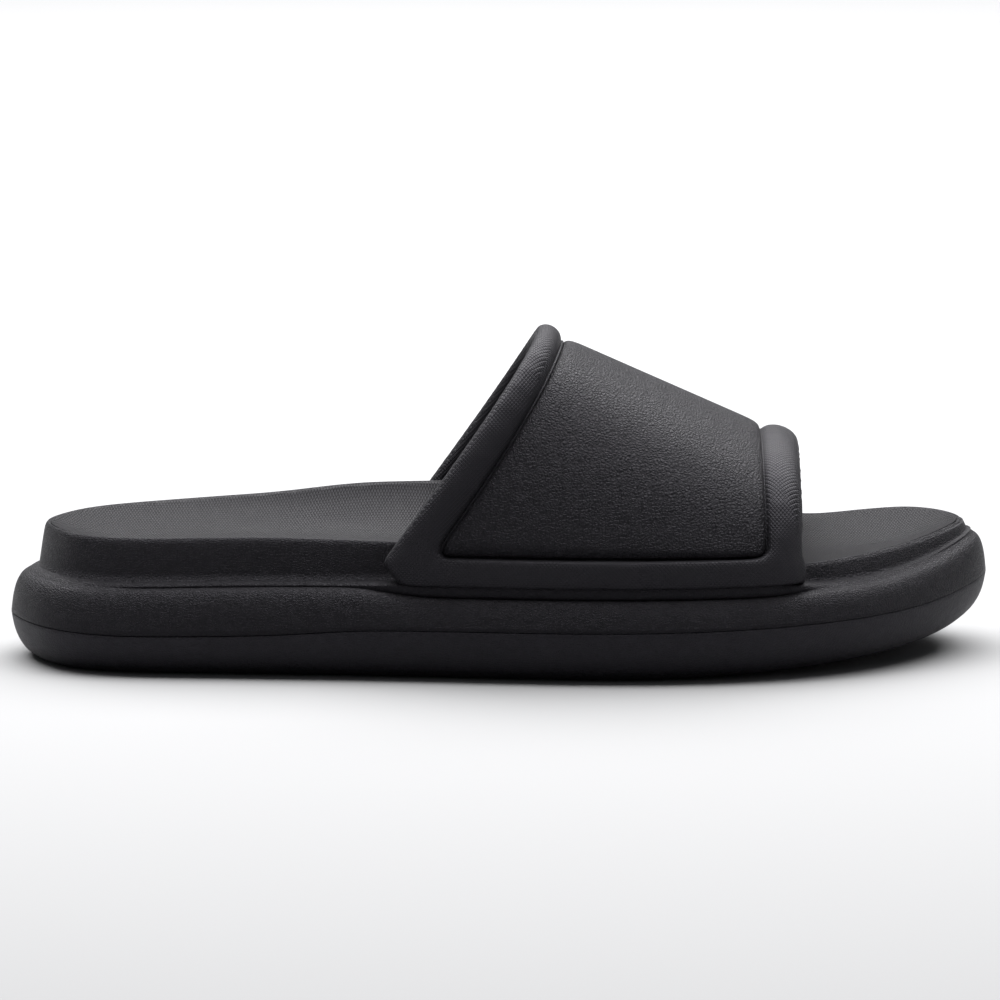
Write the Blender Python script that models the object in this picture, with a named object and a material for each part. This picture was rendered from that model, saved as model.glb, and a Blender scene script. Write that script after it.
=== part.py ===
"""Sport slide sandal for the right foot, in five moulded pieces.

Along the shoe +X is the toe, +Y is the inner side of the foot and +Z is up.
The sole is a stack of rings that follow its outline. The strap is an arch through sections over the instep.
"""

import math

import bmesh
import bpy
import numpy as np

MM = 0.001

# Overall sizes, mm
SOLE_LENGTH = 285.0
BALL_WIDTH = 104.0
HEEL_HEIGHT = 40.5
FIT_GAP = 0.3
EDGE_ROUND = 0.5
PARTING_ROUND = 0.2
SIDE_BLEND = 0.62

# Sole side, mm inward from the widest line
BULGE_TUCK = 9.0
LEDGE_INSET = 8.2
RIM_INSET = 10.2
CREASE_INSET = 4.9
LIP_WIDTH = 1.5
LIP_DROP = 0.6
LIP_ROUND = 0.7
CREASE_DEPTH = 1.5
BEAD_RISE = 0.45
BEAD_ROUND = 0.3
PLAIN_RISE = 0.35
PLAIN_TUCK = 0.7
FOOT_ROUND = 1.2

# Band under the strap, mm
BAND_INSET = 3.8
BAND_TOP = 28.5
STRAP_FOOT = BAND_TOP + FIT_GAP
BAND_CREASE = 24.2
SEAT_INSET = 9.8
SEAT_RIM_INSET = 11.0
BAND_FOOT_TUCK = 0.9
BAND_ROUND = 0.8
BAND_EDGE_DROP = 1.2
BAND_EDGE_TUCK = 1.0

# Footbed, mm
FOOTBED_THICKNESS = 3.0
SPINE_PULL = 0.26

# Underside, mm
ARCH_RISE = 2.5
GROOVE_WIDTH = 2.6
GROOVE_DEPTH = 1.5
GROOVE_PITCH = 11.3
GROOVE_MARGIN = 19.0
GROOVE_ZONES = ((0.09, 0.30), (0.58, 0.90))
CUT_OVERRUN = 2.0

# Strap, mm
INSTEP_HEIGHT = 97.2
INSTEP_SHARE = 0.546
INSTEP_SLOPE = 0.468
INSTEP_LEAN = 3.0
ARCH_POWER = 2.3
STRAP_INSET = 3.4
STRAP_THICKNESS = 5.7
STRAP_BACK = 108.4
STRAP_BACK_HEIGHT = 34.3
STRAP_BACK_LEAN = 0.71
STRAP_HEEL_ROUND = 4.8
STRAP_FRONT = 230.7
STRAP_FLARE = 1.8
STRAP_FLARE_FOOT = 3.0
STRAP_FLARE_HEIGHT = 6.0
STRAP_SKEW = 4.4
BACK_ROLL = 7.2
BACK_ROLL_SPREAD = 5.6
BACK_NOSE = 3.2
BACK_NOSE_FOOT = 6.0
FRONT_ROLL = 10.6
FRONT_NOSE = 4.7
FRONT_NOSE_FOOT = 8.6
FRONT_TIP_WALL = 1.4
FRONT_RISE = 0.3
ROLL_DROP = 3.4
ROLL_FADE = 11.0

# Panel, mm
PANEL_FOOT = 35.6
PANEL_GAP = 0.8
PANEL_DROP = 1.5
PANEL_THICKNESS = 2.2
PANEL_ROUND = 3.2
PANEL_EDGE_DROP = 1.9
PANEL_CORNER = 4.0
ARCH_LENGTH = 230.0

# Steps round the outline and over the arch
SIDE_STEPS = 44
OUTLINE_STEPS = 48
ARCH_STEPS = 22
ARCH_END_TURN = 9.5
PANEL_ROWS = 20
PANEL_ROUNDS = 6

# Where rings and rows stand, shares of the way across a surface
COVER_SHARES = (1.0, 0.6)
FLOOR_SHARES = (0.35, 1.0)
BED_SHARES = (0.25, 0.6, 1.0)
BED_EDGE_SHARE = 0.1
TIER_SHARE = 0.75
TIER_RISE_SHARE = 0.8
LIP_CREST_SHARE = 0.45
SEAT_LIP_SHARE = 0.8
CORNER_ROWS = (1.15, 2.2)
PANEL_SHARES = (0.15, 0.32, 0.5, 0.68, 0.85)
ROUND_SHARES = (0.0, 0.12, 0.4, 1.0)
ROLL_SHARES = (0.4, 0.7, 0.88, 0.96)
INNER_SHARES = (0.08, 0.25, 0.42, 0.58, 0.75, 0.92)
FOOT_RISES = (0.0, 0.03, 0.06, 0.10, 0.15)

# Where rows stand on rounded sides, degrees
UNDER_DEGREES = (24.0, 48.0, 68.0)
BULGE_DEGREES = (28.0, 50.0, 68.0)
NOSE_DEGREES = (0.0, 30.0, 60.0, 90.0)
WALL_DEGREES = (30.0, 60.0)

# Small distances: mm, then a turn in radians, then metres
SMALLEST_EDGE = 0.01
SLOPE_STEP = 1.0
LIP_REACH = 0.3
SLOPE_TURN = 0.004
MERGE_DISTANCE = 1e-6
FLAT_LIMIT = 1e-7

# The bulge would end this much further in if it turned all the way up
BULGE_OVERSHOOT = 1.08

# Foam colours
OUTSOLE_COLOR = (0.035, 0.037, 0.042)
MIDSOLE_COLOR = (0.030, 0.031, 0.034)
FOOTBED_COLOR = (0.060, 0.062, 0.068)
STRAP_COLOR = (0.045, 0.047, 0.052)
PANEL_COLOR = (0.040, 0.041, 0.045)
CUTTER_COLOR = (0.5, 0.5, 0.5)
SOLE_ROUGHNESS = 0.55
RIBBED_ROUGHNESS = 0.65
PANEL_ROUGHNESS = 0.5

# Outline at the widest line: share of the length, share of half the ball width
OUTLINE = (
    (0.000, 0.00),
    (0.035, -0.49),
    (0.100, -0.70),
    (0.200, -0.76),
    (0.320, -0.81),
    (0.450, -0.89),
    (0.580, -0.97),
    (0.700, -0.95),
    (0.800, -0.82),
    (0.890, -0.55),
    (0.962, -0.15),
    (1.000, 0.26),
    (0.976, 0.69),
    (0.914, 0.91),
    (0.820, 0.99),
    (0.720, 1.01),
    (0.620, 0.94),
    (0.520, 0.82),
    (0.420, 0.72),
    (0.320, 0.70),
    (0.200, 0.74),
    (0.100, 0.67),
    (0.035, 0.44),
)

# Heights along the sole, shares of the heel height; tier is a share of the rim inset
STATION_COLUMNS = ("along", "outer_rim", "inner_rim", "bed", "ledge", "parting", "lift", "tier")
STATIONS = (
    (0.00, 0.972, 0.972, 0.850, 0.650, 0.322, 0.000, 1.00),
    (0.12, 0.962, 0.996, 0.825, 0.662, 0.297, 0.000, 1.00),
    (0.26, 0.983, 1.059, 0.840, 0.688, 0.317, 0.000, 1.00),
    (0.38, 0.965, 1.150, 0.855, 0.698, 0.368, 0.000, 1.00),
    (0.50, 0.935, 1.150, 0.840, 0.700, 0.372, 0.000, 1.00),
    (0.64, 0.875, 1.030, 0.785, 0.695, 0.375, 0.000, 1.00),
    (0.74, 0.820, 0.920, 0.745, 0.690, 0.385, 0.020, 1.00),
    (0.82, 0.788, 0.845, 0.725, 0.655, 0.398, 0.050, 1.00),
    (0.88, 0.815, 0.882, 0.745, 0.664, 0.412, 0.085, 0.95),
    (0.94, 0.855, 0.918, 0.785, 0.722, 0.445, 0.145, 0.84),
    (1.00, 0.925, 0.925, 0.820, 0.845, 0.540, 0.345, 0.70),
)

# Where the band and the seat of the strap begin and end, shares of the length
BAND_ZONE = (0.365, 0.410, 0.785, 0.835)
SEAT_ZONE = (0.345, 0.368, 0.835, 0.865)
CREASE_ZONE = (0.03, 0.14, 0.76, 0.85)
ARCH_ZONE = (0.28, 0.40, 0.48, 0.60)


def smooth_step(value):
    """Ease from 0 to 1."""
    held = np.clip(value, 0.0, 1.0)
    return held * held * (3.0 - 2.0 * held)


def zone_weight(zone, share):
    """1 inside a zone, 0 outside it, eased over both ends."""
    rise = smooth_step((share - zone[0]) / (zone[1] - zone[0]))
    fall = smooth_step((share - zone[2]) / (zone[3] - zone[2]))
    return rise * (1.0 - fall)


def mix(first, second, share):
    return first + (second - first) * share


def station_height(name, share):
    """Smooth curve through one column of the stations that never swings past them."""
    table = np.array(STATIONS)
    knots = table[:, 0]
    values = table[:, STATION_COLUMNS.index(name)]
    steps = np.diff(knots)
    rates = np.diff(values) / steps
    product = rates[:-1] * rates[1:]
    total = np.where(product > 0.0, rates[:-1] + rates[1:], 1.0)
    inner = np.where(product > 0.0, 2.0 * product / total, 0.0)
    slopes = np.concatenate((rates[:1], inner, rates[-1:]))
    held = np.clip(share, knots[0], knots[-1])
    index = np.clip(np.searchsorted(knots, held, side="right") - 1, 0, len(steps) - 1)
    step = steps[index]
    part = (held - knots[index]) / step
    start = values[index] * (1.0 + 2.0 * part) * (1.0 - part) ** 2
    end = values[index + 1] * part**2 * (3.0 - 2.0 * part)
    pull = step * part * (1.0 - part) * (slopes[index] * (1.0 - part) - slopes[index + 1] * part)
    return (start + end + pull) * HEEL_HEIGHT


def fair_outline():
    """The closed outline in mm as many points, with its inward normals."""
    table = np.array(OUTLINE)
    before, after, later = (np.roll(table, -shift, axis=0) for shift in (1, 2, 3))
    part = np.linspace(0.0, 1.0, OUTLINE_STEPS, endpoint=False)[:, None, None]
    line = 2.0 * before + (after - table) * part
    line = line + (2.0 * table - 5.0 * before + 4.0 * after - later) * part**2
    line = 0.5 * (line + (3.0 * before - table - 3.0 * after + later) * part**3)
    points = line.transpose(1, 0, 2).reshape(-1, 2)
    reach = OUTLINE_STEPS // 4
    for _ in range(2):
        points = np.mean([np.roll(points, shift, axis=0) for shift in range(-reach, reach + 1)], axis=0)
    along = points[:, 0]
    along = (along - along.min()) / (along.max() - along.min()) * SOLE_LENGTH
    points = np.stack((along, points[:, 1] * BALL_WIDTH / 2.0), axis=1)
    tangent = np.roll(points, -1, axis=0) - np.roll(points, 1, axis=0)
    tangent /= np.linalg.norm(tangent, axis=1)[:, None]
    normal = np.stack((-tangent[:, 1], tangent[:, 0]), axis=1)
    heel = int(np.argmin(points[:, 0]))
    return np.roll(points, -heel, axis=0), np.roll(normal, -heel, axis=0)


POINTS, NORMALS = fair_outline()
TOE = int(np.argmax(POINTS[:, 0]))
OUTER = np.arange(TOE + 1)
INNER = np.concatenate((np.arange(TOE, len(POINTS)), [0]))[::-1]


def side_line(side, inset, along):
    """Distance across at a place along the shoe, on one side's outline moved inward."""
    line = POINTS[side] + NORMALS[side] * inset
    order = np.argsort(line[:, 0])
    return np.interp(along, line[order, 0], line[order, 1])


def middle_line(along):
    return (side_line(OUTER, 0.0, along) + side_line(INNER, 0.0, along)) / 2.0


class Columns:
    """Places round the outline, in pairs that share a place along the shoe."""

    def __init__(self):
        turn = np.linspace(0.0, math.pi, SIDE_STEPS + 1)
        along = SOLE_LENGTH * (1.0 - np.cos(turn)) / 2.0
        pair = np.concatenate((np.arange(SIDE_STEPS + 1), np.arange(SIDE_STEPS - 1, 0, -1)))
        outer = pair.copy()
        outer[SIDE_STEPS + 1 :] = -1
        self.along = along[pair]
        self.edge = np.zeros((len(pair), 2))
        self.normal = np.zeros((len(pair), 2))
        for side, picked in ((OUTER, outer >= 0), (INNER, outer < 0)):
            for axis in (0, 1):
                line = POINTS[side]
                self.edge[picked, axis] = np.interp(self.along[picked], line[:, 0], line[:, axis])
                turned = np.interp(self.along[picked], line[:, 0], NORMALS[side][:, axis])
                self.normal[picked, axis] = turned
        self.normal /= np.linalg.norm(self.normal, axis=1)[:, None]
        self.share = self.edge[:, 0] / SOLE_LENGTH
        spine = mix(self.along, SOLE_LENGTH / 2.0, SPINE_PULL)
        self.spine = np.stack((spine, middle_line(spine)), axis=1)
        self.inner = inner_share(self.edge[:, 0], self.edge[:, 1])
        self.rim = mix(self.height("outer_rim"), self.height("inner_rim"), self.inner)
        self.band = zone_weight(BAND_ZONE, self.share)
        self.seat = zone_weight(SEAT_ZONE, self.share)
        self.creased = zone_weight(CREASE_ZONE, self.share)
        self.tier = self.height("tier") / HEEL_HEIGHT

    def height(self, name):
        return station_height(name, self.share)

    def ring(self, inset, height):
        """One ring at an inset from the outline."""
        place = self.edge + self.normal * np.broadcast_to(inset, self.share.shape)[:, None]
        return np.column_stack((place, np.broadcast_to(height, self.share.shape)))

    def toward_spine(self, ring, share):
        """Places between a ring and the middle line of the sole."""
        return mix(ring[:, :2], self.spine, share)


def inner_share(along, across):
    """0 on the outer side of the foot, 1 on the inner side."""
    return smooth_step(0.5 + (across - middle_line(along)) / (BALL_WIDTH * SIDE_BLEND))


def floor_height(place):
    """Underside: flat at the heel and the ball, raised at the toe and a little under the arch."""
    share = place[:, 0] / SOLE_LENGTH
    arch = ARCH_RISE * zone_weight(ARCH_ZONE, share) * inner_share(place[:, 0], place[:, 1]) ** 2
    return station_height("lift", share) + arch


def parting_height(place):
    return station_height("parting", place[:, 0] / SOLE_LENGTH)


def at_height(place, height):
    return np.column_stack((place, height))


def merge_and_face(mesh_data):
    bmesh.ops.remove_doubles(mesh_data, verts=mesh_data.verts, dist=MERGE_DISTANCE)
    bmesh.ops.recalc_face_normals(mesh_data, faces=mesh_data.faces)


def make_object(name, mesh_data, color, roughness):
    """One object with its own material, from finished mesh data."""
    merge_and_face(mesh_data)
    mesh = bpy.data.meshes.new(name)
    mesh_data.to_mesh(mesh)
    mesh_data.free()
    made = bpy.data.objects.new(name, mesh)
    bpy.context.collection.objects.link(made)
    material = bpy.data.materials.new(name)
    material.use_nodes = True
    shader = material.node_tree.nodes["Principled BSDF"]
    shader.inputs["Base Color"].default_value = (*color, 1.0)
    shader.inputs["Roughness"].default_value = roughness
    mesh.materials.append(material)
    return made


def skin_rings(rings, closed_ring, caps):
    """Faces between rings of equal length; a ring may be open, and end rings may be capped."""
    data = bmesh.new()
    rows = [[data.verts.new(tuple(point * MM)) for point in ring] for ring in rings]
    count = len(rows[0])
    last = count if closed_ring else count - 1
    for lower, upper in zip(rows, rows[1:]):
        for step in range(last):
            after = (step + 1) % count
            data.faces.new((lower[step], lower[after], upper[after], upper[step]))
    if caps:
        data.faces.new(rows[0])
        data.faces.new(rows[-1][::-1])
    return data


def finish(made, angle=40.0):
    """Smooth shading with the true edges kept sharp."""
    made.data.shade_smooth()
    made.data.set_sharp_from_angle(angle=math.radians(angle))


def cut(made, cutter):
    """Take a cutter out of an object and remove the cutter."""
    modifier = made.modifiers.new("cut", "BOOLEAN")
    modifier.operation = "DIFFERENCE"
    modifier.solver = "EXACT"
    modifier.object = cutter
    bpy.context.view_layer.objects.active = made
    bpy.ops.object.modifier_apply(modifier=modifier.name)
    bpy.data.objects.remove(cutter)
    data = bmesh.new()
    data.from_mesh(made.data)
    bmesh.ops.triangulate(data, faces=data.faces, ngon_method="BEAUTY")
    bmesh.ops.dissolve_degenerate(data, edges=data.edges, dist=SMALLEST_EDGE * MM)
    bmesh.ops.triangulate(data, faces=data.faces, ngon_method="BEAUTY")
    data.to_mesh(made.data)
    data.free()


def make_outsole(columns):
    """Lower half of the bulge, with grooves across its tread."""
    parting = columns.height("parting")
    bottom = floor_height(columns.ring(BULGE_TUCK, 0.0))
    edge = columns.ring(PARTING_ROUND, parting - FIT_GAP / 2.0)
    rings = []
    for share in COVER_SHARES:
        place = columns.toward_spine(edge, share)
        rings.append(at_height(place, parting_height(place) - FIT_GAP / 2.0))
    rings.append(edge)
    rings.append(columns.ring(0.0, parting - FIT_GAP / 2.0 - PARTING_ROUND))
    for degrees in UNDER_DEGREES:
        turn = math.radians(degrees)
        inset = BULGE_TUCK * (1.0 - math.cos(turn))
        rings.append(columns.ring(inset, mix(parting, bottom, math.sin(turn))))
    base = columns.ring(BULGE_TUCK, bottom)
    rings.append(base)
    for share in FLOOR_SHARES:
        place = columns.toward_spine(base, share)
        rings.append(at_height(place, floor_height(place)))
    outsole = make_object("outsole", skin_rings(rings, True, False), OUTSOLE_COLOR, SOLE_ROUGHNESS)
    join_flat_floor(outsole)
    cut(outsole, tread_cutter())
    finish(outsole)


def join_flat_floor(made):
    """Make the flat part of the underside one face."""
    data = bmesh.new()
    data.from_mesh(made.data)
    flat = [face for face in data.faces if max(abs(vertex.co.z) for vertex in face.verts) < FLAT_LIMIT]
    bmesh.ops.dissolve_faces(data, faces=flat)
    data.to_mesh(made.data)
    data.free()


def tread_cutter():
    """Bars across the heel and the ball, one mesh."""
    data = bmesh.new()
    for first, last in GROOVE_ZONES:
        count = int(round((last - first) * SOLE_LENGTH / GROOVE_PITCH))
        for share in np.linspace(first, last, count + 1):
            along = share * SOLE_LENGTH
            low = side_line(OUTER, GROOVE_MARGIN, along)
            high = side_line(INNER, GROOVE_MARGIN, along)
            top = float(station_height("lift", share)) + GROOVE_DEPTH
            size = (GROOVE_WIDTH * MM, (high - low) * MM, (top + CUT_OVERRUN) * MM)
            center = (along * MM, (high + low) / 2.0 * MM, (top - CUT_OVERRUN) / 2.0 * MM)
            bar = bmesh.ops.create_cube(data, size=1.0)["verts"]
            bmesh.ops.scale(data, vec=size, verts=bar)
            bmesh.ops.translate(data, vec=center, verts=bar)
    return make_object("tread_cutter", data, CUTTER_COLOR, SOLE_ROUGHNESS)


def footbed_top(columns, share):
    """Dished surface between the rim and the middle line, at a share of the way in."""
    inset = rim_insets(columns)[2]
    edge = columns.ring(inset, columns.rim - LIP_DROP)
    place = columns.toward_spine(edge, share)
    middle = station_height("bed", columns.spine[:, 0] / SOLE_LENGTH)
    return at_height(place, mix(edge[:, 2], middle, math.sin(share * math.pi / 2.0)))


def rim_insets(columns):
    """Insets of the tier's foot, its top and the inside of its lip."""
    foot = mix(LEDGE_INSET * columns.tier, SEAT_INSET, columns.seat)
    top = mix(RIM_INSET * columns.tier, SEAT_RIM_INSET, columns.seat)
    seat_lip = SEAT_RIM_INSET + LIP_WIDTH * SEAT_LIP_SHARE
    inside = mix(RIM_INSET * columns.tier + LIP_WIDTH, seat_lip, columns.seat)
    return foot, top, inside


def make_midsole(columns):
    """Upper half of the bulge, the band, the tier and the seat of the footbed."""
    parting = columns.height("parting")
    ledge = columns.height("ledge")
    foot, top, inside = rim_insets(columns)
    band = columns.band
    crease_inset = mix(CREASE_INSET * columns.tier, BAND_INSET + BAND_FOOT_TUCK, band)
    crease = mix(ledge - CREASE_DEPTH, BAND_CREASE, band)
    edge = columns.ring(PARTING_ROUND, parting + FIT_GAP / 2.0)
    rings = []
    for share in COVER_SHARES:
        place = columns.toward_spine(edge, share)
        rings.append(at_height(place, parting_height(place) + FIT_GAP / 2.0))
    rings.append(edge)
    rings.append(columns.ring(0.0, parting + FIT_GAP / 2.0 + PARTING_ROUND))
    for degrees in BULGE_DEGREES:
        turn = math.radians(degrees)
        inset = crease_inset * BULGE_OVERSHOOT * (1.0 - math.cos(turn))
        rings.append(columns.ring(inset, mix(parting, crease + EDGE_ROUND, math.sin(turn))))
    plain = 1.0 - columns.creased
    rings.append(columns.ring(crease_inset, crease + PLAIN_RISE * plain))
    bead = crease_inset - mix(0.1, BAND_ROUND, band) + PLAIN_TUCK * plain
    rings.append(columns.ring(bead, crease + mix(BEAD_RISE, BAND_ROUND, band) + PLAIN_RISE * plain))
    bead = crease_inset + mix(EDGE_ROUND, -BAND_FOOT_TUCK, band) + PLAIN_TUCK * plain
    rings.append(columns.ring(bead, mix(ledge - BEAD_ROUND, BAND_TOP - BAND_EDGE_DROP, band)))
    shelf = mix(foot - FOOT_ROUND, BAND_INSET + BAND_EDGE_TUCK, band)
    rings.append(columns.ring(shelf, mix(ledge + BEAD_ROUND / 2.0, BAND_TOP, band)))
    rings.append(columns.ring(foot, mix(ledge - BEAD_ROUND + PLAIN_TUCK * plain, BAND_TOP, band)))
    rings.append(columns.ring(mix(foot, top, TIER_SHARE), mix(ledge, columns.rim, TIER_RISE_SHARE)))
    rings.append(columns.ring(top, columns.rim - LIP_ROUND))
    rings.append(columns.ring(mix(top, inside, LIP_CREST_SHARE), columns.rim))
    rings.append(columns.ring(inside, columns.rim - EDGE_ROUND))
    seat = FOOTBED_THICKNESS + FIT_GAP
    rings.append(footbed_top(columns, 0.0) - (0.0, 0.0, seat))
    for share in BED_SHARES:
        rings.append(footbed_top(columns, share) - (0.0, 0.0, seat))
    midsole = make_object("midsole", skin_rings(rings, True, False), MIDSOLE_COLOR, SOLE_ROUGHNESS)
    finish(midsole)


def make_footbed(columns):
    """Dished inlay inside the lip."""
    side = columns.ring(rim_insets(columns)[2] + FIT_GAP, 0.0)
    shell = footbed_top(columns, 0.0)
    shift = side[:, :2] - shell[:, :2]
    rings = []
    for share in reversed(BED_SHARES):
        rings.append(footbed_top(columns, share) - (0.0, 0.0, FOOTBED_THICKNESS))
    lower = footbed_top(columns, 0.0)
    lower[:, :2] += shift
    rings.append(lower - (0.0, 0.0, FOOTBED_THICKNESS))
    rings.append(lower - (0.0, 0.0, LIP_ROUND))
    rounded = lower.copy()
    rounded[:, :2] += shift
    rings.append(rounded)
    for share in (BED_EDGE_SHARE, *BED_SHARES):
        rings.append(footbed_top(columns, share))
    footbed = make_object("footbed", skin_rings(rings, True, False), FOOTBED_COLOR, RIBBED_ROUGHNESS)
    finish(footbed)


def arch_rise(along):
    """Height of the strap's crown above its foot at a place along the shoe."""
    crown = INSTEP_HEIGHT - INSTEP_SLOPE * (along - INSTEP_SHARE * SOLE_LENGTH)
    return crown - STRAP_FOOT


def crown_point(along, turn):
    """Point of the strap's outer surface: turn runs from 0 on the outer side to pi on the inner."""
    low = side_line(OUTER, STRAP_INSET, along)
    high = side_line(INNER, STRAP_INSET, along)
    width = (high - low) / 2.0
    spread = np.sign(np.cos(turn)) * np.abs(np.cos(turn)) ** (2.0 / ARCH_POWER)
    rise = np.abs(np.sin(turn)) ** (2.0 / ARCH_POWER)
    across = (low + high) / 2.0 - width * spread + INSTEP_LEAN * rise**2
    return np.stack((along, across, STRAP_FOOT + arch_rise(along) * rise), axis=-1)


def crown_normal(along, turn):
    """Outward normal of the strap's outer surface."""
    forward = crown_point(along + SLOPE_STEP, turn) - crown_point(along - SLOPE_STEP, turn)
    start = np.clip(turn - SLOPE_TURN, 0.0, math.pi)
    end = np.clip(turn + SLOPE_TURN, 0.0, math.pi)
    round_arch = crown_point(along, end) - crown_point(along, start)
    normal = np.cross(forward, round_arch)
    return normal / np.linalg.norm(normal, axis=-1)[..., None]


def strap_back(turn):
    """Rear edge of the strap: a leaning plane, rounded at its foot."""
    rise = np.abs(np.sin(turn)) ** (2.0 / ARCH_POWER)
    plane = STRAP_BACK + STRAP_BACK_LEAN * (STRAP_FOOT - STRAP_BACK_HEIGHT)
    level = arch_rise(0.0) * rise
    along = (plane + STRAP_BACK_LEAN * level) / (1.0 + STRAP_BACK_LEAN * INSTEP_SLOPE * rise)
    height = STRAP_FOOT + arch_rise(along) * rise
    below = STRAP_BACK_HEIGHT - STRAP_FOOT
    under = np.clip((STRAP_BACK_HEIGHT - height) / below, 0.0, 1.0)
    skew = STRAP_SKEW * ((1.0 - np.cos(turn)) / 2.0) ** 3
    return along + skew + STRAP_BACK_LEAN * below * under + STRAP_HEEL_ROUND * under**2


def strap_front(turn):
    """Front edge of the strap, upright, with a small flare where it meets the rim."""
    rise = np.abs(np.sin(turn)) ** (2.0 / ARCH_POWER)
    height = STRAP_FOOT + arch_rise(STRAP_FRONT) * rise
    above_rim = (height - STRAP_FOOT - STRAP_FLARE_FOOT) / STRAP_FLARE_HEIGHT
    return STRAP_FRONT + STRAP_FLARE * smooth_step(1.0 - above_rim)


def back_roll(turn):
    return BACK_ROLL + BACK_ROLL_SPREAD * (1.0 - np.sin(turn))


def roll_level(from_edge, nose, width, rise, lift, tip):
    """Height of a rolled edge over the arch: from its tip round its nose to a crest, then to the pocket."""
    crest = rise * lift
    before = np.clip(1.0 - from_edge / nose, 0.0, 1.0)
    behind = np.clip((from_edge - nose) / (width - nose), 0.0, 1.0)
    climb = (tip + crest) * (np.sqrt(1.0 - before**2) - 1.0)
    fall = (ROLL_DROP * lift + crest) * (1.0 - np.sqrt(1.0 - behind**2))
    return crest + climb - fall


def roll_lift(along, turn):
    """1 where the edges of the strap are full rolls, 0 on the flat band at its foot."""
    from_foot = float(arch_rise(along)) * math.sin(turn) ** (2.0 / ARCH_POWER)
    return float(smooth_step((from_foot - ROLL_FADE / 2.0) / ROLL_FADE))


def frame_level(along, back, front, turn):
    """Height of the strap's outer face over the arch, with both rolls fading into the flat band below."""
    lift = roll_lift(along, turn)
    if along - back < front - along:
        nose = mix(BACK_NOSE_FOOT, BACK_NOSE, roll_lift(back, turn))
        tip = STRAP_THICKNESS / 2.0
        return float(roll_level(along - back, nose, float(back_roll(turn)), 0.0, lift, tip))
    nose = mix(FRONT_NOSE_FOOT, FRONT_NOSE, roll_lift(front, turn))
    return float(roll_level(front - along, nose, FRONT_ROLL, FRONT_RISE, lift, front_tip(front, turn)))


def front_tip(front, turn):
    """Depth of the front edge's tip under the outer face: half the wall, and nearly all of it at the foot."""
    return mix(STRAP_THICKNESS - FRONT_TIP_WALL, STRAP_THICKNESS / 2.0, roll_lift(front, turn))


def roll_places(nose, width):
    """Distances from an edge of the strap where its roll has points, from the tip to the pocket."""
    tip = [nose * (1.0 - math.cos(math.radians(degrees))) for degrees in NOSE_DEGREES]
    return tip + [mix(nose, width, share) for share in ROLL_SHARES]


def strap_section(turn):
    """One closed loop round the strap's wall at a turn of the arch."""
    back = float(strap_back(turn))
    front = float(strap_front(turn))
    half = STRAP_THICKNESS / 2.0
    roll = float(back_roll(turn))
    inner = list(mix(back + roll, front - FRONT_ROLL, np.array(INNER_SHARES)))
    back_nose = mix(BACK_NOSE_FOOT, BACK_NOSE, roll_lift(back, turn))
    front_nose = mix(FRONT_NOSE_FOOT, FRONT_NOSE, roll_lift(front, turn))
    rear = [back + place for place in roll_places(back_nose, roll)]
    fore = [front - place for place in reversed(roll_places(front_nose, FRONT_ROLL))]
    places = [(along, frame_level(along, back, front, turn)) for along in rear + inner + fore]
    tip = front_tip(front, turn)
    below = STRAP_THICKNESS - tip
    for degrees in WALL_DEGREES:
        angle = math.radians(degrees)
        places.append((front - below * (1.0 - math.cos(angle)), -tip - below * math.sin(angle)))
    under = (back + half, mix(back + half, back + roll, 0.5), back + roll - LIP_REACH, *inner)
    under = (*under, front - FRONT_ROLL + LIP_REACH, front - mix(half, FRONT_ROLL, 0.5), front - below)
    for along in reversed(under):
        places.append((along, -STRAP_THICKNESS))
    for degrees in reversed(WALL_DEGREES):
        angle = math.radians(degrees)
        places.append((back + half * (1.0 - math.cos(angle)), -half * math.sin(angle) - half))
    along = np.array([place[0] for place in places])
    level = np.array([place[1] for place in places])
    turns = np.full(len(places), turn)
    return crown_point(along, turns) + crown_normal(along, turns) * level[:, None]


def strap_turns():
    """Turns of the arch where sections stand, closer together at both feet."""
    low = [math.asin(rise ** (ARCH_POWER / 2.0)) for rise in FOOT_RISES]
    first = math.radians(ARCH_END_TURN)
    middle = list(np.linspace(first, math.pi - first, ARCH_STEPS))
    return low + middle + [math.pi - turn for turn in reversed(low)]


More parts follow.
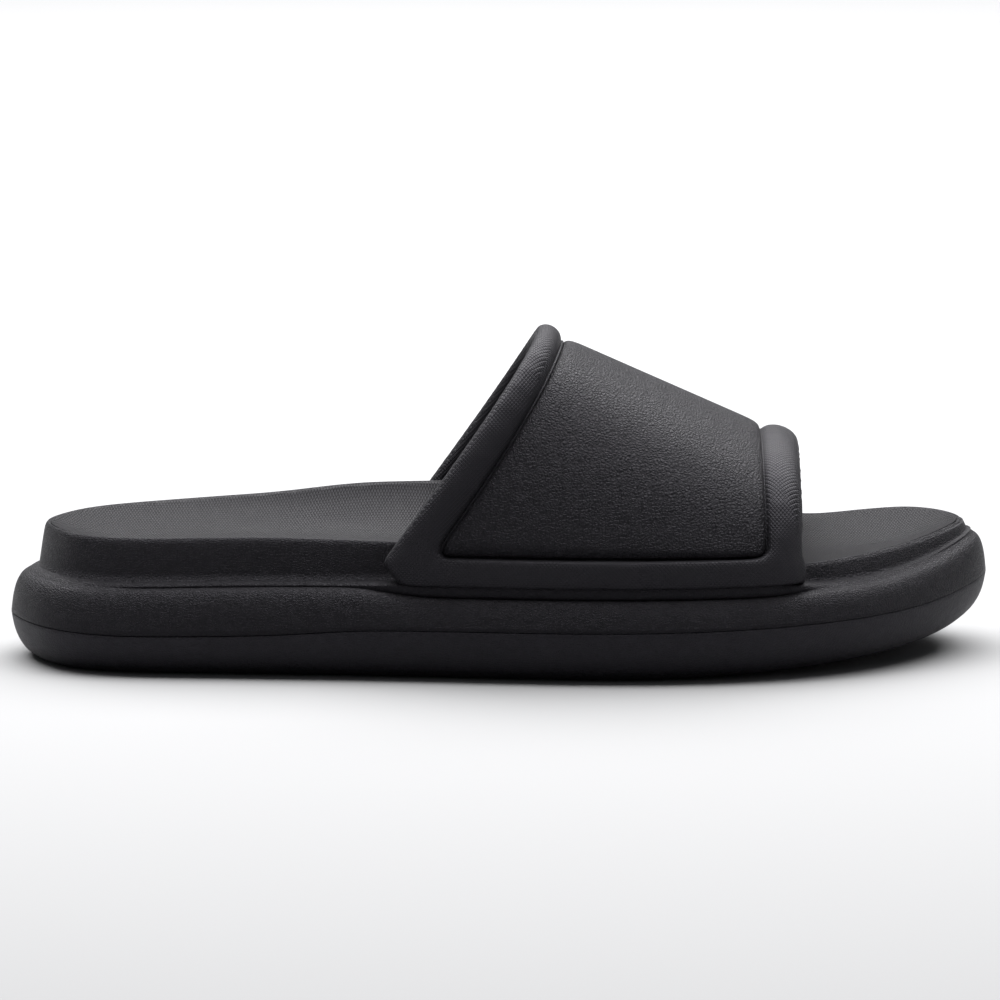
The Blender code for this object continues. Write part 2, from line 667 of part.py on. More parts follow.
def panel_patch(grow, lower, upper, edge_drop):
    """Closed pad that follows the strap's arch, with rounded corners and edges."""
    foot = PANEL_FOOT + PANEL_GAP - grow
    corner = PANEL_CORNER + grow
    steps = [share * PANEL_ROUND for share in ROUND_SHARES]
    ends = [offset / ARCH_LENGTH for offset in (*steps, CORNER_ROWS[0] * PANEL_CORNER)]
    offsets = np.array(steps if edge_drop > 0.0 else steps[::3])
    past_corner = CORNER_ROWS[1] * PANEL_CORNER / ARCH_LENGTH
    rows = ends + list(np.linspace(past_corner, 1.0 - past_corner, PANEL_ROWS))
    rows = rows + [1.0 - share for share in reversed(ends)]
    top_rings = []
    low_rings = []
    for share in rows:
        from_end = min(share, 1.0 - share) * ARCH_LENGTH
        bend = max(corner - from_end, 0.0)
        tuck = corner - math.sqrt(corner**2 - bend**2)
        turn = np.full(2 * len(offsets) + len(PANEL_SHARES), share * math.pi)
        for _ in range(PANEL_ROUNDS):
            back = strap_back(turn) + back_roll(turn) + PANEL_GAP - grow + tuck
            front = STRAP_FRONT - FRONT_ROLL - PANEL_GAP + grow - tuck
            width = front - back
            part = np.concatenate((offsets / width[0], PANEL_SHARES, 1.0 - offsets[::-1] / width[0]))
            along = back + width * part
            low = np.arcsin(((foot - STRAP_FOOT) / arch_rise(along)) ** (ARCH_POWER / 2.0))
            turn = mix(low, math.pi - low, share)
        from_side = np.minimum(along - along[0], along[-1] - along)
        from_edge = np.minimum(from_side, from_end)
        inside = 1.0 - np.clip(from_edge / PANEL_ROUND, 0.0, 1.0)
        level = upper - edge_drop * (1.0 - np.sqrt(1.0 - inside**2))
        place = crown_point(along, turn)
        normal = crown_normal(along, turn)
        top_rings.append(place + normal * level[:, None])
        low_rings.append(place + normal * lower)
    return closed_pad(top_rings, low_rings)


def closed_pad(top_rings, low_rings):
    """Faces of a pad from its upper and lower grids and the wall between them."""
    data = bmesh.new()
    tops = [[data.verts.new(tuple(point * MM)) for point in ring] for ring in top_rings]
    lows = [[data.verts.new(tuple(point * MM)) for point in ring] for ring in low_rings]
    rows = len(tops)
    count = len(tops[0])
    for row in range(rows - 1):
        for step in range(count - 1):
            for grid in (tops, lows):
                first, second = grid[row], grid[row + 1]
                data.faces.new((first[step], first[step + 1], second[step + 1], second[step]))
        for step in (0, count - 1):
            data.faces.new((tops[row][step], tops[row + 1][step], lows[row + 1][step], lows[row][step]))
    for row in (0, rows - 1):
        for step in range(count - 1):
            data.faces.new((tops[row][step], tops[row][step + 1], lows[row][step + 1], lows[row][step]))
    return data


def make_strap():
    """Hollow arch with rolled edges and the pocket of the panel."""
    rings = [strap_section(turn) for turn in strap_turns()]
    for ring in (rings[0], rings[-1]):
        ring[:, 2] = STRAP_FOOT
    strap = make_object("strap", skin_rings(rings, True, True), STRAP_COLOR, RIBBED_ROUGHNESS)
    pocket_floor = -(PANEL_DROP + PANEL_THICKNESS + FIT_GAP)
    pocket = panel_patch(PANEL_GAP, pocket_floor, STRAP_THICKNESS, 0.0)
    cut(strap, make_object("pocket", pocket, CUTTER_COLOR, PANEL_ROUGHNESS))
    finish(strap)


def make_panel():
    """Padded inlay in the pocket."""
    patch = panel_patch(0.0, -(PANEL_DROP + PANEL_THICKNESS), -PANEL_DROP, PANEL_EDGE_DROP)
    finish(make_object("strap_panel", patch, PANEL_COLOR, PANEL_ROUGHNESS))


def centre_objects():
    """Put the middle of the sole's length over the origin."""
    across = POINTS[:, 1]
    shift = (-SOLE_LENGTH / 2.0 * MM, -(across.min() + across.max()) / 2.0 * MM, 0.0)
    for made in bpy.data.objects:
        for vertex in made.data.vertices:
            vertex.co.x += shift[0]
            vertex.co.y += shift[1]


def main():
    for old in list(bpy.data.objects):
        bpy.data.objects.remove(old)
    columns = Columns()
    make_outsole(columns)
    make_midsole(columns)
    make_footbed(columns)
    make_strap()
    make_panel()
    centre_objects()


main()
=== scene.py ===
"""Black moulded slide sandal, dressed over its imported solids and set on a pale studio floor.

Every piece starts as a merged copy of its solid, is rounded, and gets its own node-based foam.
"""

import math

import bpy
from bpy.props import FloatProperty, FloatVectorProperty, PointerProperty
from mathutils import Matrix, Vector


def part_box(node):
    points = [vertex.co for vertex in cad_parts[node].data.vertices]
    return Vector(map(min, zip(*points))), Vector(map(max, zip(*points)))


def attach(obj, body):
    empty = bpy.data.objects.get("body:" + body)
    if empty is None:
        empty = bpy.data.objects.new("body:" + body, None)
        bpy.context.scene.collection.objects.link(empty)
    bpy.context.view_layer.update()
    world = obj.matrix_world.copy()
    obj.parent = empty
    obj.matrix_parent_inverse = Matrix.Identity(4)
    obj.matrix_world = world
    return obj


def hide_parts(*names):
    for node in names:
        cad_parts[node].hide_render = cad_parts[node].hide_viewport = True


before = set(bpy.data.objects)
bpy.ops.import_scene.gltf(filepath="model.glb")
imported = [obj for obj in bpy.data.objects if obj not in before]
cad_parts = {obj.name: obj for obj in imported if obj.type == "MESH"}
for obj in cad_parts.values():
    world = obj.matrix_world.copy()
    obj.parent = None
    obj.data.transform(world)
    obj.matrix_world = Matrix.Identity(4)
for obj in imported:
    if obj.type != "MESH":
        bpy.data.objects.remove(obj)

bl_info = {
    "name": "Slide sandal",
    "version": (1, 0, 0),
    "blender": (4, 5, 0),
    "location": "View3D > Sidebar > Sandal",
    "description": "Moulded slide sandal with leather-grained foam and ribbed edges",
    "category": "Object",
}

MM = 0.001
BODY = "root"

# The gap between two solids, and what the pieces move to close the joints that look closed
JOINT_GAP = 0.3 * MM
PARTING_RISE = 1.7 * JOINT_GAP
RIM_GROWTH = 2.4 * JOINT_GAP
RIM_RISE = 1.3 * JOINT_GAP
FOOT_DROP = 2.0 * JOINT_GAP
FRONT_FOOT_DROP = 3.0 * JOINT_GAP

# Length of the strap's foot that is pressed deeper, at the toe end
FRONT_FOOT = 9.0 * MM

# Doubled points of a solid lie closer than this
MERGE_DISTANCE = 0.002 * MM

# Two triangles become one four-sided face below these turns, in degrees
QUAD_FACE_TURN = 60.0
QUAD_SHAPE_TURN = 70.0

# How often a rounded piece is subdivided
ROUNDING_LEVELS = 2

# The strap is cast anew in fine cells and smoothed, which rounds its rolls
STRAP_CELL = 0.75 * MM
STRAP_SMOOTHING = 0.5
STRAP_PASSES = 14

# The groove round the panel and the fine lip in it
PANEL_GROWTH = 0.4 * MM
LIP_GROWTH = 0.75 * MM
LIP_RADIUS = 0.4 * MM
LIP_FACETS = 2
LIP_RISE = 0.7 * MM
LIP_AXIS_RISE = 15.0 * MM

# Edges that turn by more than this stay crisp, in degrees
OUTSOLE_EDGE = 32.0
MIDSOLE_EDGE = 48.0
INLAY_EDGE = 60.0

# Faces that meet at less than this are shaded as one, in degrees
OUTSOLE_SHADING = 38.0
SOFT_SHADING = 60.0
FULL_SHADING = 180.0

# What all foams share: the tint of their gloss, soft patches, fine dust, and the share of their relief in
# their colour, which lightens the raised parts and paints shade into the valleys of grain and ribs
COOL_GLOSS = (0.92, 0.88, 1.0, 1.0)
PATCH_DEPTH = 0.3 * MM
DUST_SIZE = 0.25 * MM
RELIEF_SHADE_SHARE = 0.6

# How strongly each foam and the floor reflect
OUTSOLE_GLOSS = 0.40
SOLE_GLOSS = 0.29
FOOTBED_GLOSS = 0.17
STRAP_GLOSS = 0.39
PANEL_GLOSS = 0.32
FLOOR_GLOSS = 0.1

# The leather grain: the cell of each piece as a share of the full one, and its depth
OUTSOLE_GRAIN_SHARE = 0.8
OUTSOLE_GRAIN_DEPTH = 0.14 * MM
SOLE_GRAIN_SHARE = 0.75
SOLE_GRAIN_DEPTH = 0.18 * MM
PANEL_GRAIN_DEPTH = 0.34 * MM

# The crossed ribs: their depth, and their slant against the length of the shoe in degrees
RIB_DEPTH = 0.16 * MM
FOOTBED_SLANT = 20.0
STRAP_SLANT = 45.0

# The overhead light and the sky round it
LIGHT_PLACE = (0.0, 0.76, 1.3)
LIGHT_AIM = (0.0, 0.52, 0.0)
LIGHT_SIZE = (2.6, 2.2)
SKY_COLOR = (0.94, 0.97, 1.0, 1.0)
SKY_STRENGTH = 0.10

# The floor, which reaches far behind the sandal
FLOOR_SIZE = 12.0
FLOOR_PLACE = (0.0, 1.0, 0.0)

# The photograph's view, in degrees and metres, and a camera's usual film width in millimetres
VIEW_ELEVATION = 10.0
VIEW_DISTANCE = 2.5
VIEW_WIDTH = 0.2909
VIEW_MIDDLE = 0.0447
VIEW_AXIS_SHIFT = -1.0 * MM
SENSOR_WIDTH = 36.0


def color_property(name, text, value):
    return FloatVectorProperty(
        name=name, description=text, default=value, size=3, min=0.0, max=1.0, subtype="COLOR"
    )


class SandalSettings(bpy.types.PropertyGroup):
    """Sizes and colours that a user would change."""

    sole_color: color_property("Sole foam", "Colour of the grained sole", (0.0034, 0.0033, 0.0041))
    outsole_color: color_property("Outsole foam", "Colour of the smooth lower half", (0.0036, 0.0036, 0.0048))
    footbed_color: color_property("Footbed foam", "Colour of the ribbed footbed", (0.0058, 0.0057, 0.0067))
    strap_color: color_property("Strap foam", "Colour of the ribbed strap", (0.0042, 0.0041, 0.0050))
    panel_color: color_property("Panel foam", "Colour of the grained panel", (0.0038, 0.0037, 0.0045))
    floor_color: color_property("Floor", "Colour of the studio floor", (0.45, 0.45, 0.455))
    grain_cell: FloatProperty(
        name="Grain", description="Width of one cell of the leather grain", default=0.95 * MM, unit="LENGTH"
    )
    rib_pitch: FloatProperty(
        name="Ribs", description="Distance between the crossed ribs", default=0.82 * MM, unit="LENGTH"
    )
    light_power: FloatProperty(
        name="Light", description="Power of the overhead light", default=98.0, min=0.0, unit="POWER"
    )


def settings():
    return bpy.context.scene.sandal_settings


class Value:
    """A socket that takes part in Python expressions."""

    def __init__(self, surface, socket):
        self.surface = surface
        self.socket = socket

    def math(self, operation, *values):
        return self.surface.node("ShaderNodeMath", {"operation": operation}, dict(enumerate(values)))

    def __add__(self, other):
        return self.math("ADD", self, other)

    __radd__ = __add__

    def __sub__(self, other):
        return self.math("SUBTRACT", self, other)

    def __rsub__(self, other):
        return self.math("SUBTRACT", other, self)

    def __mul__(self, other):
        return self.math("MULTIPLY", self, other)

    __rmul__ = __mul__

    def sine(self):
        return self.math("SINE", self)

    def absolute(self):
        return self.math("ABSOLUTE", self)

    def eased(self, low, high):
        """0 below low, 1 above high, eased between them."""
        return self.surface.node(
            "ShaderNodeMapRange",
            {"interpolation_type": "SMOOTHSTEP"},
            {"Value": self, "From Min": low, "From Max": high},
        )


class Surface:
    """One material and its nodes."""

    def __init__(self, name, gloss):
        self.material = bpy.data.materials.new(name)
        self.material.use_nodes = True
        self.tree = self.material.node_tree
        self.shader = self.tree.nodes["Principled BSDF"]
        self.shader.inputs["Specular IOR Level"].default_value = gloss
        self.shader.inputs["Specular Tint"].default_value = COOL_GLOSS

    def feed(self, socket, value):
        """Link a value to a socket, or set the socket to a plain number or colour."""
        if isinstance(value, Value):
            self.tree.links.new(value.socket, socket)
        else:
            socket.default_value = value

    def node(self, kind, choices=None, inputs=None, output=0):
        """Any node: its settings first, then the values or links of its sockets."""
        made = self.tree.nodes.new(kind)
        for name, value in (choices or {}).items():
            setattr(made, name, value)
        for name, value in (inputs or {}).items():
            self.feed(made.inputs[name], value)
        return Value(self, made.outputs[output])

    def place(self):
        return self.node("ShaderNodeTexCoord", output="Object")

    def noise(self, place, size, detail=2.0, output="Fac"):
        inputs = {"Vector": place, "Scale": 1.0 / size, "Detail": detail}
        return self.node("ShaderNodeTexNoise", {}, inputs, output)

    def cells(self, place, size):
        """Distance to the nearest edge between cells of uneven shape."""
        choices = {"feature": "DISTANCE_TO_EDGE"}
        return self.node("ShaderNodeTexVoronoi", choices, {"Vector": place, "Scale": 1.0 / size})

    def parts(self, vector):
        """The three numbers of a vector."""
        split = self.node("ShaderNodeSeparateXYZ", {}, {"Vector": vector})
        return [Value(self, socket) for socket in split.socket.node.outputs]

    def blend(self, share, first, second, kind="RGBA"):
        """Mix two colours, or two vectors."""
        inputs = {"Factor": share, "A": first, "B": second}
        return self.node("ShaderNodeMix", {"data_type": kind}, inputs, "Result")

    def shades(self, share, color, dark, light):
        """Colour the surface between a darker and a lighter form of one colour."""
        mixed = self.blend(share, shade(color, dark), shade(color, light))
        self.feed(self.shader.inputs["Base Color"], mixed)

    def roughness(self, value):
        self.feed(self.shader.inputs["Roughness"], value)

    def bump(self, *layers):
        """Bumps one over another, each a height and its depth in metres."""
        normal = None
        for height, depth in layers:
            inputs = {"Height": height, "Distance": depth, "Strength": 1.0}
            if normal is not None:
                inputs["Normal"] = normal
            normal = self.node("ShaderNodeBump", {}, inputs)
        self.feed(self.shader.inputs["Normal"], normal)


def shade(color, share):
    """A darker or lighter form of a colour, with its alpha."""
    return (*(part * share for part in color), 1.0)


def leather_grain(surface, place, cell):
    """Height of a pebbled leather grain: cells of uneven size with soft valleys between them."""
    bend_size, bend_share = 3.0 * cell, 0.0006
    fine_cell = 0.55 * cell
    valley, fine_valley = 0.28, 0.3
    coarse_share = 0.7
    bend = surface.noise(place, bend_size, detail=1.0, output="Color")
    bent = surface.blend(bend_share, place, bend, "VECTOR")
    pebbles = surface.cells(bent, cell).eased(0.0, valley)
    fine = surface.cells(bent, fine_cell).eased(0.0, fine_valley)
    return pebbles * coarse_share + fine * (1.0 - coarse_share)


def crossed_ribs(across, along, pitch, slant):
    """Height of a fine weave: small diamonds between two sets of slanting grooves."""
    flank = 0.75
    turn = math.pi / pitch
    run = along * (turn * math.cos(math.radians(slant)))
    lean = across * (turn * math.sin(math.radians(slant)))
    first = (run + lean).sine().absolute()
    second = (run - lean).sine().absolute()
    return first.eased(0.0, flank) * second.eased(0.0, flank)


def boxed_ribs(surface, place, pitch, slant):
    """The weave laid on from above, from the sides and from the ends, whichever a face looks to most."""
    turn_start, turn_end = 0.62, 0.78
    along, across, up = surface.parts(place)
    facing = surface.parts(surface.node("ShaderNodeNewGeometry", output="Normal"))
    ribs = crossed_ribs(across, along, pitch, slant)
    for first, second, normal in ((up, along, facing[1]), (up, across, facing[0])):
        share = normal.absolute().eased(turn_start, turn_end)
        ribs = ribs + (crossed_ribs(first, second, pitch, slant) - ribs) * share
    return ribs


def grained_foam(name, color, gloss, cell, depth):
    """Matt foam with a pebbled leather grain, whose pebbles shine a little."""
    patch_size, dust_depth = 18.0 * MM, 0.03 * MM
    valley_roughness, pebble_shine = 0.54, 0.18
    surface = Surface(name, gloss)
    place = surface.place()
    grain = leather_grain(surface, place, cell)
    patches = surface.noise(place, patch_size)
    dust = surface.noise(place, DUST_SIZE)
    # The colour darkens in the grain's valleys, which is painted shade; the patches add the foam's own random
    # tone
    surface.shades(grain * RELIEF_SHADE_SHARE + patches * (1.0 - RELIEF_SHADE_SHARE), color, dark=0.7, light=1.25)
    surface.roughness(valley_roughness - grain * pebble_shine)
    surface.bump((patches, PATCH_DEPTH), (grain, depth), (dust, dust_depth))
    return surface


def ribbed_foam(surface, place, color, ribs):
    """Give a surface matt foam with ribs of a known height, which shine a little on top."""
    patch_size, dust_depth = 20.0 * MM, 0.02 * MM
    groove_roughness, rib_shine = 0.60, 0.14
    patches = surface.noise(place, patch_size)
    dust = surface.noise(place, DUST_SIZE)
    # The colour darkens in the grooves between the ribs, which is painted shade; the patches add the foam's
    # own random tone
    surface.shades(ribs * RELIEF_SHADE_SHARE + patches * (1.0 - RELIEF_SHADE_SHARE), color, dark=0.62, light=1.3)
    surface.roughness(groove_roughness - ribs * rib_shine)
    surface.bump((patches, PATCH_DEPTH), (ribs, RIB_DEPTH), (dust, dust_depth))


def ribbed_footbed_foam(color, pitch):
    """Foam with the weave of the footbed, laid on from above."""
    surface = Surface("ribbed_footbed_foam", FOOTBED_GLOSS)
    place = surface.place()
    along, across, _ = surface.parts(place)
    ribbed_foam(surface, place, color, crossed_ribs(across, along, pitch, FOOTBED_SLANT))
    return surface


def ribbed_strap_foam(color, pitch):
    """Foam with the weave of the strap, which follows its rolls."""
    surface = Surface("ribbed_strap_foam", STRAP_GLOSS)
    place = surface.place()
    ribbed_foam(surface, place, color, boxed_ribs(surface, place, pitch, STRAP_SLANT))
    return surface


def smooth_foam(color, cell):
    """Smoother foam of the outsole, with a faint mottle and grain."""
    mottle_size, mottle_depth = 3.0 * MM, 0.12 * MM
    patch_size = 25.0 * MM
    least_roughness, dulling = 0.42, 0.16
    surface = Surface("smooth_outsole_foam", OUTSOLE_GLOSS)
    place = surface.place()
    mottle = surface.noise(place, mottle_size, detail=4.0)
    patches = surface.noise(place, patch_size)
    grain = leather_grain(surface, place, cell)
    surface.shades(mottle * 0.5 + patches * 0.5, color, dark=0.7, light=1.3)
    surface.roughness(least_roughness + mottle * dulling)
    surface.bump((mottle, mottle_depth), (grain, OUTSOLE_GRAIN_DEPTH))
    return surface


def pale_floor(color):
    """Even pale paper with a hardly visible mottle."""
    mottle_size, paper_roughness = 0.4, 0.9
    surface = Surface("pale_floor", FLOOR_GLOSS)
    mottle = surface.noise(surface.place(), mottle_size, detail=3.0)
    surface.shades(mottle, color, dark=0.985, light=1.0)
    surface.roughness(paper_roughness)
    return surface


def deselect_all():
    if bpy.context.object is not None and bpy.context.object.mode != "OBJECT":
        bpy.ops.object.mode_set(mode="OBJECT")
    bpy.ops.object.select_all(action="DESELECT")


def take_active(piece):
    deselect_all()
    piece.select_set(True)
    bpy.context.view_layer.objects.active = piece


def edit_all(piece):
    """Enter edit mode with the whole mesh selected."""
    take_active(piece)
    bpy.ops.object.mode_set(mode="EDIT")
    bpy.ops.mesh.select_all(action="SELECT")


def edit_sharp(piece, angle):
    """Enter edit mode with only the sharp edges selected."""
    take_active(piece)
    bpy.ops.object.mode_set(mode="EDIT")
    bpy.ops.mesh.select_mode(type="EDGE")
    bpy.ops.mesh.select_all(action="DESELECT")
    bpy.ops.mesh.edges_select_sharp(sharpness=math.radians(angle))


def resize_mesh(piece, factors, center):
    """Stretch the whole mesh of a piece about a point."""
    edit_all(piece)
    bpy.ops.transform.resize(value=factors, center_override=center)
    bpy.ops.object.mode_set(mode="OBJECT")


def merged_copy(node, name):
    """A copy of a solid as one merged mesh of mostly four-sided faces."""
    piece = bpy.data.objects.new(name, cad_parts[node].data.copy())
    piece.data.materials.clear()
    bpy.context.collection.objects.link(piece)
    edit_all(piece)
    bpy.ops.mesh.remove_doubles(threshold=MERGE_DISTANCE)
    bpy.ops.mesh.tris_convert_to_quads(
        face_threshold=math.radians(QUAD_FACE_TURN), shape_threshold=math.radians(QUAD_SHAPE_TURN)
    )
    bpy.ops.object.mode_set(mode="OBJECT")
    return piece


def add_modifier(piece, kind, **choices):
    """Add a modifier with its settings and apply it."""
    take_active(piece)
    modifier = piece.modifiers.new(kind.lower(), kind)
    for name, value in choices.items():
        setattr(modifier, name, value)
    bpy.ops.object.modifier_apply(modifier=modifier.name)


def round_piece(piece, edge):
    """Round a piece by subdivision, with its true edges kept crisp."""
    edit_sharp(piece, edge)
    bpy.ops.transform.edge_crease(value=1.0)
    bpy.ops.object.mode_set(mode="OBJECT")
    add_modifier(piece, "SUBSURF", levels=ROUNDING_LEVELS, render_levels=ROUNDING_LEVELS)


def finish_piece(piece, node, surface, shading):
    """Shade, dress, and tie a piece to the frame."""
    take_active(piece)
    bpy.ops.object.shade_smooth_by_angle(angle=math.radians(shading))
    piece.data.materials.append(surface.material)
    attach(piece, BODY)
    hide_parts(node)


def close_parting(piece):
    """Stretch the outsole a little up from the floor, so that it meets the midsole in a fine line."""
    raised = 1.0 + PARTING_RISE / piece.dimensions.z
    resize_mesh(piece, (1.0, 1.0, raised), (0.0, 0.0, 0.0))


def close_rim(piece):
    """Widen and raise the footbed a little, so that only a fine line stays between it and the rim."""
    length, width = piece.dimensions.x, piece.dimensions.y
    grown = (1.0 + RIM_GROWTH / length, 1.0 + RIM_GROWTH / width, 1.0)
    edit_all(piece)
    bpy.ops.transform.resize(value=grown, center_override=(0.0, 0.0, 0.0))
    bpy.ops.transform.translate(value=(0.0, 0.0, RIM_RISE))
    bpy.ops.object.mode_set(mode="OBJECT")


def close_foot(piece):
    """Press the flat feet of the strap into the sole below, and the toe end of them deeper."""
    take_active(piece)
    bpy.ops.object.mode_set(mode="EDIT")
    bpy.ops.mesh.select_mode(type="VERT")
    bpy.ops.mesh.select_all(action="DESELECT")
    bpy.ops.object.mode_set(mode="OBJECT")
    foot = min(vertex.co.z for vertex in piece.data.vertices)
    toe_end = max(vertex.co.x for vertex in piece.data.vertices) - FRONT_FOOT
    for reach, drop in ((-math.inf, FOOT_DROP), (toe_end, FRONT_FOOT_DROP)):
        for vertex in piece.data.vertices:
            vertex.select = vertex.co.z < foot + JOINT_GAP and vertex.co.x > reach
        bpy.ops.object.mode_set(mode="EDIT")
        bpy.ops.transform.translate(value=(0.0, 0.0, -drop))
        bpy.ops.object.mode_set(mode="OBJECT")


def grow_outline(piece, growth):
    """Move the outline of a panel outward: its ends along the shoe and its feet down."""
    corners = [Vector(corner) for corner in piece.bound_box]
    middle = sum(corners, Vector()) / len(corners)
    crown = Vector((middle.x, middle.y, max(corner.z for corner in corners)))
    grown = (1.0 + 2.0 * growth / piece.dimensions.x, 1.0, 1.0 + growth / piece.dimensions.z)
    resize_mesh(piece, grown, crown)


def lip_outline():
    """The sharp outline of the panel, moved out into its groove and up."""
    piece = merged_copy("strap_panel", "strap_lip")
    edit_sharp(piece, INLAY_EDGE)
    bpy.ops.mesh.select_all(action="INVERT")
    bpy.ops.mesh.delete(type="EDGE_FACE")
    bpy.ops.object.mode_set(mode="OBJECT")
    grow_outline(piece, LIP_GROWTH)
    low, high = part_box("strap_panel")
    axis = Vector(((low.x + high.x) / 2.0, (low.y + high.y) / 2.0, low.z + LIP_AXIS_RISE))
    raised = 1.0 + LIP_RISE / (high.z - axis.z)
    resize_mesh(piece, (1.0, raised, raised), axis)


def make_lip(surface):
    """Make the fine raised line that runs round the panel in its groove."""
    lip_outline()
    bpy.ops.object.convert(target="CURVE")
    curve = bpy.context.object.data
    curve.bevel_depth = LIP_RADIUS
    curve.bevel_resolution = LIP_FACETS
    bpy.ops.object.convert(target="MESH")
    bpy.ops.object.shade_smooth()
    piece = bpy.context.object
    piece.data.materials.clear()
    piece.data.materials.append(surface.material)
    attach(piece, BODY)


def make_floor():
    deselect_all()
    bpy.ops.mesh.primitive_plane_add(size=FLOOR_SIZE, location=FLOOR_PLACE)
    bpy.ops.object.transform_apply(location=True, rotation=True, scale=True)
    floor = bpy.context.object
    floor.name = "studio_floor"
    floor.data.materials.append(pale_floor(settings().floor_color).material)


def make_light():
    """One large soft light that hangs over the sandal and a little behind it."""
    light = bpy.data.lights.new("overhead_light", "AREA")
    light.shape = "RECTANGLE"
    light.size, light.size_y = LIGHT_SIZE
    light.energy = settings().light_power
    holder = bpy.data.objects.new("overhead_light", light)
    bpy.context.collection.objects.link(holder)
    holder.location = LIGHT_PLACE
    holder.rotation_euler = (Vector(LIGHT_AIM) - Vector(LIGHT_PLACE)).to_track_quat("-Z", "Y").to_euler()


def make_sky():
    world = bpy.data.worlds.new("studio_world")
    world.use_nodes = True
    background = world.node_tree.nodes["Background"]
    background.inputs["Color"].default_value = SKY_COLOR
    background.inputs["Strength"].default_value = SKY_STRENGTH
    bpy.context.scene.world = world
    bpy.context.scene.view_settings.view_transform = "Standard"


def make_camera():
    """The camera at the photograph's angle, seen from the outer side of the sandal."""
    elevation = math.radians(VIEW_ELEVATION)
    look = Vector((0.0, math.cos(elevation), -math.sin(elevation)))
    low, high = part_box("outsole")
    target = Vector((0.0, (low.y + high.y) / 2.0 + VIEW_AXIS_SHIFT, VIEW_MIDDLE / math.cos(elevation)))
    camera = bpy.data.cameras.new("photo_camera")
    camera.sensor_width = SENSOR_WIDTH
    camera.lens = SENSOR_WIDTH * VIEW_DISTANCE / VIEW_WIDTH
    holder = bpy.data.objects.new("photo_camera", camera)
    bpy.context.collection.objects.link(holder)
    holder.location = target - look * VIEW_DISTANCE
    holder.rotation_euler = look.to_track_quat("-Z", "Y").to_euler()
    bpy.context.scene.camera = holder


class SANDAL_OT_outsole(bpy.types.Operator):
    """Make the smooth lower half of the sole"""

    bl_idname = "sandal.outsole"
    bl_label = "Outsole"

    def execute(self, context):
        kit = settings()
        piece = merged_copy("outsole", "outsole_foam")
        round_piece(piece, OUTSOLE_EDGE)
        close_parting(piece)
        surface = smooth_foam(kit.outsole_color, kit.grain_cell * OUTSOLE_GRAIN_SHARE)
        finish_piece(piece, "outsole", surface, OUTSOLE_SHADING)
        return {"FINISHED"}


class SANDAL_OT_midsole(bpy.types.Operator):
    """Make the grained upper half of the sole with its tier"""

    bl_idname = "sandal.midsole"
    bl_label = "Midsole"

    def execute(self, context):
        kit = settings()
        piece = merged_copy("midsole", "midsole_foam")
        round_piece(piece, MIDSOLE_EDGE)
        cell = kit.grain_cell * SOLE_GRAIN_SHARE
        surface = grained_foam("grained_sole_foam", kit.sole_color, SOLE_GLOSS, cell, SOLE_GRAIN_DEPTH)
        finish_piece(piece, "midsole", surface, SOFT_SHADING)
        return {"FINISHED"}


class SANDAL_OT_footbed(bpy.types.Operator):
    """Make the ribbed footbed"""

    bl_idname = "sandal.footbed"
    bl_label = "Footbed"

    def execute(self, context):
        kit = settings()
        piece = merged_copy("footbed", "footbed_foam")
        round_piece(piece, INLAY_EDGE)
        close_rim(piece)
        surface = ribbed_footbed_foam(kit.footbed_color, kit.rib_pitch)
        finish_piece(piece, "footbed", surface, SOFT_SHADING)
        return {"FINISHED"}


class SANDAL_OT_strap(bpy.types.Operator):
    """Make the strap with its rolled edges, and the fine lip in its pocket"""

    bl_idname = "sandal.strap"
    bl_label = "Strap"

    def execute(self, context):
        kit = settings()
        piece = merged_copy("strap", "strap_foam")
        close_foot(piece)
        add_modifier(piece, "REMESH", mode="VOXEL", voxel_size=STRAP_CELL)
        add_modifier(piece, "SMOOTH", factor=STRAP_SMOOTHING, iterations=STRAP_PASSES)
        surface = ribbed_strap_foam(kit.strap_color, kit.rib_pitch)
        finish_piece(piece, "strap", surface, FULL_SHADING)
        make_lip(surface)
        return {"FINISHED"}


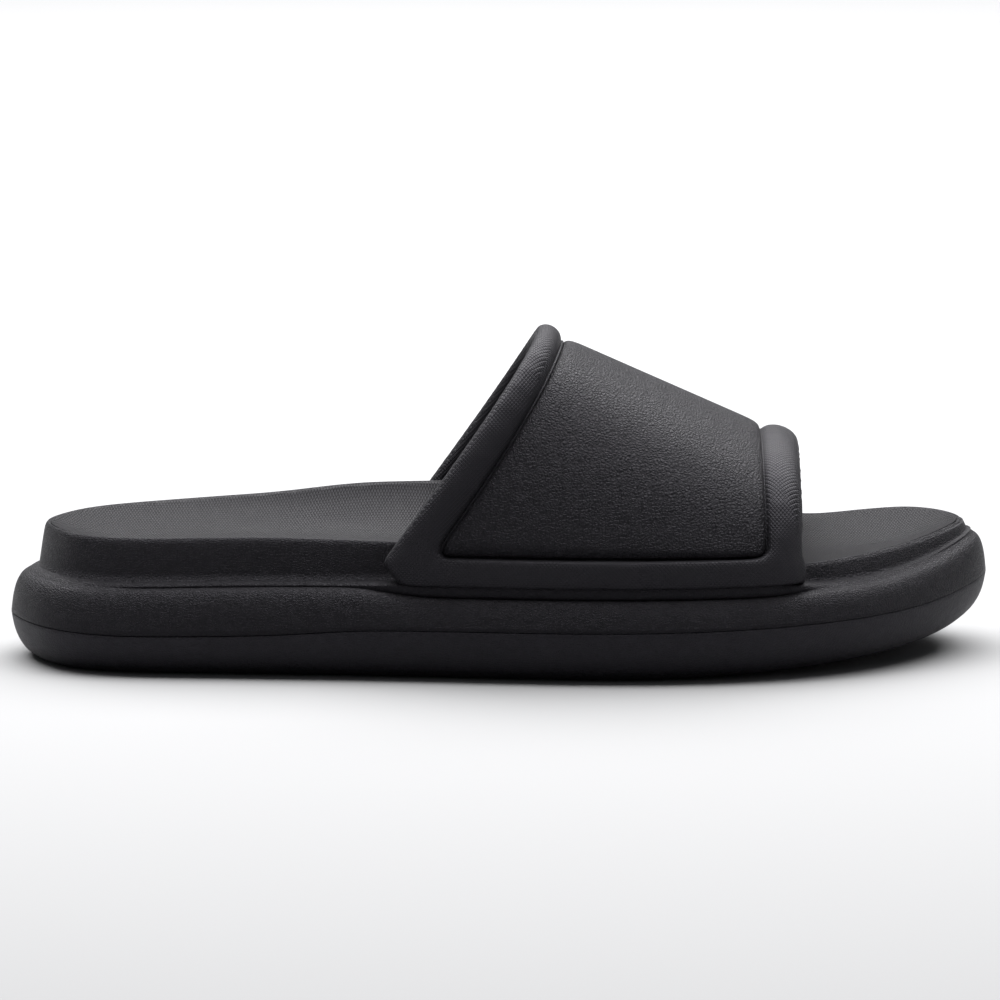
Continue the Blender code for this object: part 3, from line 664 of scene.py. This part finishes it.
class SANDAL_OT_strap_panel(bpy.types.Operator):
    """Make the grained panel in the strap's pocket, with a fine groove round it"""

    bl_idname = "sandal.strap_panel"
    bl_label = "Strap panel"

    def execute(self, context):
        kit = settings()
        piece = merged_copy("strap_panel", "panel_foam")
        round_piece(piece, INLAY_EDGE)
        grow_outline(piece, PANEL_GROWTH)
        surface = grained_foam(
            "grained_panel_foam", kit.panel_color, PANEL_GLOSS, kit.grain_cell, PANEL_GRAIN_DEPTH
        )
        finish_piece(piece, "strap_panel", surface, SOFT_SHADING)
        return {"FINISHED"}


class SANDAL_OT_stage(bpy.types.Operator):
    """Make the floor, the light, the sky and the camera"""

    bl_idname = "sandal.stage"
    bl_label = "Stage"

    def execute(self, context):
        make_floor()
        make_light()
        make_sky()
        make_camera()
        return {"FINISHED"}


OPERATORS = (
    SANDAL_OT_outsole,
    SANDAL_OT_midsole,
    SANDAL_OT_footbed,
    SANDAL_OT_strap,
    SANDAL_OT_strap_panel,
    SANDAL_OT_stage,
)


class SANDAL_PT_panel(bpy.types.Panel):
    """The pieces of the sandal and its settings"""

    bl_label = "Slide sandal"
    bl_idname = "SANDAL_PT_panel"
    bl_space_type = "VIEW_3D"
    bl_region_type = "UI"
    bl_category = "Sandal"

    def draw(self, context):
        for name in SandalSettings.__annotations__:
            self.layout.prop(context.scene.sandal_settings, name)
        for operator in OPERATORS:
            self.layout.operator(operator.bl_idname)


CLASSES = (SandalSettings, *OPERATORS, SANDAL_PT_panel)


def register():
    for made in CLASSES:
        bpy.utils.register_class(made)
    bpy.types.Scene.sandal_settings = PointerProperty(type=SandalSettings)


def unregister():
    del bpy.types.Scene.sandal_settings
    for made in reversed(CLASSES):
        bpy.utils.unregister_class(made)


def main():
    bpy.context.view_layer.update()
    register()
    bpy.ops.sandal.outsole()
    bpy.ops.sandal.midsole()
    bpy.ops.sandal.footbed()
    bpy.ops.sandal.strap()
    bpy.ops.sandal.strap_panel()
    bpy.ops.sandal.stage()


if __name__ == "__main__":
    main()
